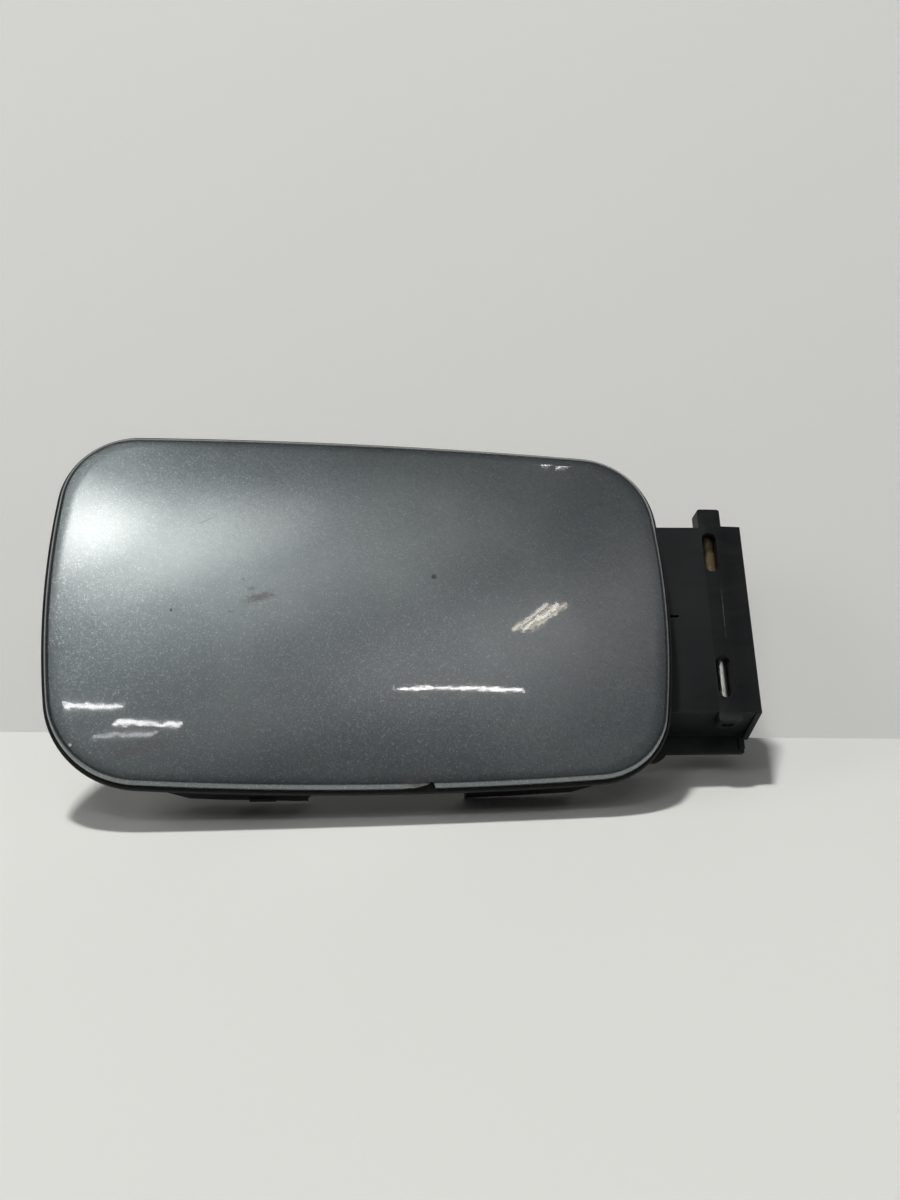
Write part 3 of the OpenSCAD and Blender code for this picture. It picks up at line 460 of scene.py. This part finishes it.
# what the three metals share
tarnishLook = {
    "blotch": (330.0, 5.0, 0.65), "stainRange": (0.40, 0.66, 0.0, 0.7),
    "fine": (1700.0, 3.0, 0.6), "fineShare": 0.25, "rustRange": (0.66, 0.80, 0.0, 0.35),
    "wander": 0.012, "zonePatch": (0.25, 0.55, 0.55, 1.0),    # how the rust zone's edge and its cover vary
    "rust": (0.060, 0.040, 0.018), "brown": (0.25, 0.18, 0.085),
    "rustDull": 0.85, "rustRough": 0.32, "rustRelief": 2.0, "brushedRelief": 0.4, "depth": 1.2e-5,
}


def metalFinish(name, look):
    w, shared = Wiring(name), tarnishLook
    where = objectPlace(w)
    brushed = w.noise(where, *look["brushed"])
    blotch = w.noise(where, *shared["blotch"])
    fine = w.noise(where, *shared["fine"])
    colour = w.blend(w.ramp(blotch, *shared["stainRange"]), look["base"], look["stain"])
    rust = w.ramp(w.math("MULTIPLY_ADD", fine, shared["fineShare"], blotch), *shared["rustRange"])
    if "rustZone" in look:
        height = w.add("ShaderNodeSeparateXYZ", {0: where}).outputs["Z"]
        zone = w.ramp(w.math("MULTIPLY_ADD", blotch, shared["wander"], height), *look["rustZone"])
        rust = w.math("MAXIMUM", rust, w.math("MULTIPLY", zone, w.ramp(fine, *shared["zonePatch"])))
    colour = w.blend(rust, colour, w.blend(fine, shared["rust"], shared["brown"]))
    metallic = w.math("SUBTRACT", 1.0, w.math("MULTIPLY", rust, shared["rustDull"]))
    rough = w.math("MULTIPLY_ADD", rust, shared["rustRough"], w.between(brushed, *look["roughness"]))
    lines = w.math("MULTIPLY", brushed, shared["brushedRelief"])
    relief = w.math("MULTIPLY_ADD", rust, w.math("MULTIPLY", fine, shared["rustRelief"]), lines)
    return w.close({
        "Base Color": colour, "Metallic": metallic, "Roughness": rough,
        "Normal": w.bump(relief, shared["depth"]),
    })


# White bushes with grease on them

bushLook = {
    "base": (0.70, 0.67, 0.58), "grease": (0.16, 0.12, 0.07), "roughness": (0.25, 0.2), "depth": 1.0e-5,
    "patch": (380.0, 4.0, 0.6), "greaseRange": (0.45, 0.7, 0.0, 0.6),
    "inside": 0.08, "insideReach": (0.002, 0.0015, 0.001),
}


def bushFinish():
    w, look = Wiring("acetalBush"), bushLook
    patch = w.noise(objectPlace(w), *look["patch"])
    return w.close({
        "Base Color": w.blend(w.ramp(patch, *look["greaseRange"]), look["base"], look["grease"]),
        "Roughness": w.between(patch, *look["roughness"]), "Normal": w.bump(patch, look["depth"]),
        "Subsurface Weight": look["inside"], "Subsurface Radius": look["insideReach"],
    })


paint = paintFinish()
housingPlastic = plasticFinish("housingPlastic", plasticLook["housing"])
carrierPlastic = plasticFinish("carrierPlastic", plasticLook["carrier"])
armPlastic = plasticFinish("armPlastic", plasticLook["arm"])
rubber = rubberFinish()
pinSteel = metalFinish("pinSteel", metalLook["pin"])
zinc = metalFinish("zincPlate", metalLook["zinc"])
leafSteel = metalFinish("leafSteel", metalLook["leaf"])
bushWhite = bushFinish()
print("finishes made")

# Painted panel


def paintedPanel():
    r, wall, rim = flap["edge"], flap["wall"], flap["rim"]
    rows = [flapRow(r, 0.0, (k + 1) / flap["domeRings"]) for k in range(flap["domeRings"])]
    for k in range(1, flap["edgeRings"] + 1):
        t = math.pi / 2 * k / flap["edgeRings"]
        rows.append(flapRow(r * (1 - math.sin(t)), r * (1 - math.cos(t)), 1.0, k < flap["edgeRings"]))
    rows += [flatRow(inset, rim - short) for inset, short in flap["rimRound"]]
    run, rise = flap["innerRound"]
    rows += [flatRow(wall, rim), flatRow(wall, r), flatRow(wall + run, wall + rise)]
    rows += [flapRow(r, wall, share) for share in flap["innerShares"]]
    count = len(rows[0])
    points = onFlap(rows)
    faces = ringFaces(len(rows), count)
    first, last = len(points), len(points) + 1
    points.append(flapSpot + mm * Vector((0, -flap["crown"], 0)))
    points.append(flapSpot + mm * Vector((0, wall - flap["crown"], 0)))
    faces += [(first, (i + 1) % count, i) for i in range(count)]
    tail = (len(rows) - 1) * count
    faces += [(last, tail + i, tail + (i + 1) % count) for i in range(count)]
    return meshPiece("paintedPanel", points, faces, "flap", paint, flap["smooth"])


chip = {
    "at": (23.4, -64.0), "depth": (-3.0, 4.0),
    # jagged outline of the chip in the flap's lower edge, from its steep side
    "edge": [
        (-13.2, -2.0), (-13.0, 0.6), (-10.6, 0.8), (-8.6, 1.05), (-6.9, 1.0), (-4.8, 1.35), (-3.3, 1.75),
        (-2.0, 2.1), (-1.2, 2.9), (-0.4, 2.2), (0.0, 1.2), (0.5, 0.6), (0.9, -2.0),
    ],
}


def cutChip(panel):
    outline = [(chip["at"][0] + x, chip["at"][1] + z) for x, z in chip["edge"]]
    n = len(outline)
    points = [flapSpot + mm * Vector((x, y, z)) for y in chip["depth"] for x, z in outline]
    faces = [tuple(range(n))[::-1], tuple(range(n, 2 * n))]
    faces += [(i, (i + 1) % n, n + (i + 1) % n, n + i) for i in range(n)]
    tool = linkedMesh("chipTool", points, faces)
    cut = panel.modifiers.new("chip", "BOOLEAN")
    cut.operation, cut.solver, cut.object = "DIFFERENCE", "EXACT", tool
    settled = bpy.data.meshes.new_from_object(panel.evaluated_get(bpy.context.evaluated_depsgraph_get()))
    panel.modifiers.clear()
    panel.data = settled
    bpy.data.objects.remove(tool)


panel = paintedPanel()
cutChip(panel)
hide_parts("outer_panel")
print("painted panel:", len(panel.data.polygons), "faces")

# Edge seal, with a rounded lip
seal = {"lip": 1.3, "thick": 1.6, "inner": 3.0, "round": 0.6, "steps": 6, "smooth": 40}


def edgeSeal():
    front, r, steps = flap["rim"], seal["round"], seal["steps"]
    back, out = front + seal["thick"], r - seal["lip"]
    turns = [math.pi / 2 * k / steps for k in range(steps + 1)]
    rows = [flatRow(seal["inner"], front)]
    rows += [flatRow(out - r * math.sin(t), front + r * (1 - math.cos(t))) for t in turns]
    rows += [flatRow(out - r * math.cos(t), back - r * (1 - math.sin(t))) for t in turns]
    rows += [flatRow(seal["inner"], back)]
    count = len(rows[0])
    faces = ringFaces(len(rows), count)
    tail = (len(rows) - 1) * count
    faces += [(tail + i, tail + (i + 1) % count, (i + 1) % count, i) for i in range(count)]
    return meshPiece("edgeSeal", onFlap(rows), faces, "flap", rubber, seal["smooth"])


sealObj = edgeSeal()
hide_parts("edge_seal")
print("edge seal made")

# CAD nodes: a finish each, and the radius in millimetres to which their edges are eased. The ribbed carrier
# keeps its edges, because easing them spoils its floor.
nodeFinish = {
    "inner_carrier": (carrierPlastic, 0.0), "hinge_arm": (armPlastic, 0.30),
    "hinge_housing": (housingPlastic, 0.25), "hinge_pin": (pinSteel, 0.0),
    "check_spring": (leafSteel, 0.0), "latch_striker": (zinc, 0.2),
    "mounting_sleeve_1": (zinc, 0.15), "mounting_sleeve_2": (zinc, 0.15),
    "bush_upper": (bushWhite, 0.0), "bush_lower": (bushWhite, 0.0),
    "bump_stop_upper": (rubber, 0.3), "bump_stop_lower": (rubber, 0.3),
}
fasteners = {"arm_screw": 4, "striker_screw": 2, "spring_rivet": 2}
for kind, howMany in fasteners.items():
    nodeFinish.update({f"{kind}_{k + 1}": (zinc, 0.12) for k in range(howMany)})

easing = {
    "weld": 1e-6,
    "flat": math.radians(0.6),      # facets that turn less than this become one face
    "sharp": math.radians(32),      # edges that turn more than this are eased
    "segments": 2, "weight": 80,
}


def dressNode(name, finish, ease):
    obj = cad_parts[name]
    if not obj.material_slots:
        obj.data.materials.append(finish)
    for slot in obj.material_slots:
        slot.material = finish
    if not ease:
        return
    weld = obj.modifiers.new("weld", "WELD")
    weld.merge_threshold = easing["weld"]
    flatten = obj.modifiers.new("flatten", "DECIMATE")
    flatten.decimate_type, flatten.angle_limit = "DISSOLVE", easing["flat"]
    bevel = obj.modifiers.new("ease", "BEVEL")
    bevel.width, bevel.segments = ease * mm, easing["segments"]
    bevel.limit_method, bevel.angle_limit, bevel.use_clamp_overlap = "ANGLE", easing["sharp"], False
    obj.data.shade_smooth()
    even = obj.modifiers.new("even", "WEIGHTED_NORMAL")
    even.mode, even.weight, even.keep_sharp = "FACE_AREA", easing["weight"], False


for nodeName, (finish, ease) in nodeFinish.items():
    dressNode(nodeName, finish, ease)
print("nodes dressed:", len(nodeFinish))

# Room: floor and wall
room = {
    "floor": (0.80, 0.80, 0.775), "wall": (0.80, 0.795, 0.77), "glow": 0.34, "size": 3.0,
    "line": ((-0.2341, 0.0226), (0.1227, 0.0144)),    # where the wall meets the floor: side and depth
    "lowest": 0.002,                                  # the least height that the wall's lean is measured at
    "cloud": (2.2, 3.0, 0.5), "cloudRange": (0.3, 0.7, 0.0, 0.10), "cloudShade": 0.86,
    "fleck": (90.0, 4.0, 0.7), "fleckRange": (0.70, 0.80, 0.0, 0.12), "fleckTone": (0.35, 0.33, 0.30),
}


def stageFinish(name, tone, glow):
    # solid to the camera and to mirrors, but lets the lamps behind it and the sky's light through
    w = Wiring(name)
    where = objectPlace(w)
    cloud = w.noise(where, *room["cloud"])
    fleck = w.noise(where, *room["fleck"])
    colour = w.blend(w.ramp(cloud, *room["cloudRange"]), tone, tuple(room["cloudShade"] * c for c in tone))
    colour = w.blend(w.ramp(fleck, *room["fleckRange"]), colour, room["fleckTone"])
    rays = w.add("ShaderNodeLightPath")
    passing = w.math("MAXIMUM", rays.outputs["Is Shadow Ray"], rays.outputs["Is Diffuse Ray"])
    through = w.math("MAXIMUM", geometry(w, "Backfacing"), passing)
    solid = w.add("ShaderNodeBsdfDiffuse", {"Color": colour})
    light = w.add("ShaderNodeEmission", {"Color": colour, "Strength": glow})
    lit = w.add("ShaderNodeAddShader", {0: solid.outputs[0], 1: light.outputs[0]})
    clear = w.add("ShaderNodeBsdfTransparent")
    return w.finish(w.add("ShaderNodeMixShader", {0: through, 1: lit.outputs[0], 2: clear.outputs[0]}))


solidPoints = np.array([v.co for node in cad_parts.values() for v in node.data.vertices])
floorLevel = float((solidPoints @ np.array(roomUp)).min())
lineLeft, lineRight = (inRoom(side, away, floorLevel) for side, away in room["line"])
wallAlong = (lineRight - lineLeft).normalized()
wallAway = roomUp.cross(wallAlong)
beyond = (solidPoints - np.array(lineLeft)) @ np.array(wallAway)
above = (solidPoints - np.array(lineLeft)) @ np.array(roomUp)
# the wall leans back as far as the housing needs
wallLean = float((beyond / np.maximum(above, room["lowest"])).max())
wallUp = (roomUp + wallLean * wallAway).normalized()
print("floor at", round(floorLevel, 4), "wall leans back", round(math.degrees(math.atan(wallLean)), 1))


def stageSheet(name, out, facing, finish):
    # a square that lies along the line between floor and wall, and reaches out from it
    s, middle = room["size"], (lineLeft + lineRight) / 2
    ends = middle - s * wallAlong, middle + s * wallAlong
    obj = linkedMesh(name, [ends[0], ends[1], ends[1] + s * out, ends[0] + s * out], [(0, 1, 2, 3)])
    if obj.data.polygons[0].normal.dot(facing) < 0:
        obj.data.flip_normals()
    obj.data.materials.append(finish)


stageSheet("floor", -wallAway, roomUp, stageFinish("floorPaint", room["floor"], 0.0))
stageSheet("backdrop", wallUp, -wallAway, stageFinish("wallPaint", room["wall"], room["glow"]))

# Sky: a faint light all round, and the pale background that shows past the floor and the wall
sky = {
    "light": (0.93, 0.96, 1.0, 1.0), "strength": 0.055,
    "shown": (0.80, 0.80, 0.775, 1.0), "shownStrength": 1.0,
}


def lightSky():
    world = bpy.data.worlds.new("world")
    scene.world = world
    world.use_nodes = True
    nodes, links = world.node_tree.nodes, world.node_tree.links
    light = nodes["Background"]
    light.inputs["Color"].default_value = sky["light"]
    light.inputs["Strength"].default_value = sky["strength"]
    shown = nodes.new("ShaderNodeBackground")
    shown.inputs["Color"].default_value = sky["shown"]
    shown.inputs["Strength"].default_value = sky["shownStrength"]
    rays = nodes.new("ShaderNodeLightPath")
    both = nodes.new("ShaderNodeMixShader")
    links.new(rays.outputs["Is Camera Ray"], both.inputs[0])
    links.new(light.outputs[0], both.inputs[1])
    links.new(shown.outputs[0], both.inputs[2])
    links.new(both.outputs[0], nodes["World Output"].inputs[0])


lightSky()
print("sky lit")

# Lamps hang in the room, each at its reach, in metres, from a point in millimetres. Side is in degrees from
# the way back to the camera, to its right, and height is in degrees above level.
lamps = {
    "overhead": {
        "from": (-60, -20, 0), "side": -90.0, "height": 79.0, "reach": 4.0,
        "size": (0.38, 0.38), "watts": 106.0, "tone": (1.0, 1.0, 0.98), "mirrored": False,
    },
    "left": {
        "from": (-150, -40, -60), "side": -75.0, "height": 36.0, "reach": 1.4,
        "size": (0.80, 0.50), "watts": 3.0, "tone": (1.0, 1.0, 0.98), "mirrored": False,
    },
    "behind": {
        "from": (-60, 0, 0), "side": 160.0, "height": -10.0, "reach": 1.4,
        "size": (1.2, 1.0), "watts": 22.0, "tone": (1.0, 0.99, 0.97), "mirrored": True,
    },
}
# Soft ovals of light that the metallic paint and its clear coat mirror
cards = {
    "window": {
        "side": -28.1, "height": 55.3, "turn": 56.1, "size": (0.196, 0.082),
        "glow": 12.0, "tone": (0.98, 1.0, 0.97),
    },
    "glow": {
        "side": -21.4, "height": 56.5, "turn": 43.6, "size": (0.461, 0.150),
        "glow": 5.2, "tone": (0.98, 1.0, 0.97),
    },
    "halo": {
        "side": 0.0, "height": 58.6, "turn": 23.6, "size": (0.602, 0.290),
        "glow": 1.22, "tone": (0.99, 1.0, 0.98),
    },
    "ceiling": {
        "side": 21.3, "height": 47.7, "turn": 8.6, "size": (0.876, 0.205),
        "glow": 0.92, "tone": (1.0, 0.965, 0.99),
    },
}
cardPlace = {"from": (-87, -36, 0), "reach": 1.5}
cardCorners = 32

# Slim lamps, whose mirror images draw the bright lines on the clear coat
tubes = {
    "target": (-0.087, -0.036, 0.0), "width": 0.007, "gain": 0.30,
    "rows": [
        # middle, direction, length, glow, tone
        ((-0.558, -1.440, 0.321), (0.905, -0.284, -0.317), 0.128, 90.0, (1.0, 1.0, 0.98)),
        ((-0.448, -1.476, 0.253), (0.912, -0.222, -0.346), 0.123, 90.0, (1.0, 1.0, 0.98)),
        ((-0.480, -1.472, 0.242), (0.918, -0.231, -0.322), 0.110, 30.0, (1.0, 1.0, 0.98)),
        ((0.110, -1.489, 0.291), (0.991, 0.111, 0.070), 0.243, 100.0, (1.0, 0.98, 0.95)),
        ((0.263, -1.425, 0.480), (0.721, 0.311, 0.619), 0.101, 45.0, (1.0, 0.90, 0.76)),
        ((0.281, -1.422, 0.480), (0.725, 0.316, 0.612), 0.101, 60.0, (1.0, 0.92, 0.80)),
        ((0.298, -1.418, 0.480), (0.729, 0.321, 0.604), 0.100, 35.0, (1.0, 0.90, 0.76)),
        ((0.243, -1.292, 0.831), (0.987, 0.011, -0.160), 0.022, 80.0, (1.0, 0.98, 0.95)),
        ((0.276, -1.298, 0.811), (0.972, -0.017, -0.233), 0.022, 80.0, (1.0, 0.98, 0.95)),
    ],
}
steepest = 0.95    # a lamp this nearly overhead takes the room's depth as its up


def hang(obj, lamp):
    a, e = math.radians(lamp["side"]), math.radians(lamp["height"])
    way = inRoom(math.sin(a) * math.cos(e), -math.cos(a) * math.cos(e), math.sin(e))
    up = roomUp if abs(way.dot(roomUp)) < steepest else roomAway
    place(obj, Vector(lamp["from"]) * mm + lamp["reach"] * way, -way, up)
    obj.visible_camera = False


def areaLamp(name, size, watts, tone):
    data = bpy.data.lights.new(name, "AREA")
    data.shape, (data.size, data.size_y) = "RECTANGLE", size
    data.energy, data.color = watts, tone
    obj = bpy.data.objects.new(name, data)
    scene.collection.objects.link(obj)
    return obj


def hangLamp(name, lamp):
    obj = areaLamp(name, lamp["size"], lamp["watts"], lamp["tone"])
    hang(obj, lamp)
    obj.visible_glossy = lamp["mirrored"]    # in the paint, the cards and the slim lamps alone are to show


def hangCard(name, card):
    # a glowing oval whose light fades out towards its edge
    w = Wiring(name + "Glow")
    fade = w.ramp(w.vector("LENGTH", objectPlace(w)), 1.0, 0.0)
    fade = w.math("MULTIPLY", fade, w.math("SUBTRACT", 1.0, geometry(w, "Backfacing")))
    strength = w.math("MULTIPLY", fade, card["glow"])
    glow = w.add("ShaderNodeEmission", {"Color": (*card["tone"], 1.0), "Strength": strength})
    clear = w.add("ShaderNodeBsdfTransparent")    # the cards cross, and let one another's light through
    material = w.finish(w.add("ShaderNodeAddShader", {0: glow.outputs[0], 1: clear.outputs[0]}))
    corners = [2 * math.pi * k / cardCorners for k in range(cardCorners)]
    points = [(math.cos(t), math.sin(t), 0) for t in corners]
    obj = linkedMesh(name, points, [tuple(reversed(range(cardCorners)))])
    obj.data.materials.append(material)
    hang(obj, {**cardPlace, **card})
    turn = Matrix.Rotation(math.radians(card["turn"]), 4, "Z")
    obj.matrix_world = obj.matrix_world @ turn @ Matrix.Diagonal((*card["size"], 1.0, 1.0))


def hangTube(index, row):
    spot, along, length, glow, tone = row
    away = (Vector(spot) - Vector(tubes["target"])).normalized()
    side = (Vector(along) - Vector(along).dot(away) * away).normalized()
    watts = tubes["gain"] * glow * math.pi * length * tubes["width"]
    obj = areaLamp(f"tube{index}", (length, tubes["width"]), watts, tone)
    turn = Matrix((side, away.cross(side), away)).transposed().to_4x4()
    obj.matrix_world = Matrix.Translation(Vector(spot)) @ turn
    obj.visible_camera = False


for lampName, lamp in lamps.items():
    hangLamp(lampName, lamp)
for cardName, card in cards.items():
    hangCard(cardName, card)
for tubeIndex, tubeRow in enumerate(tubes["rows"]):
    hangTube(tubeIndex, tubeRow)
print("room lit:", len(lamps) + len(cards) + len(tubes["rows"]), "lamps")

scene.view_settings.view_transform = "Standard"
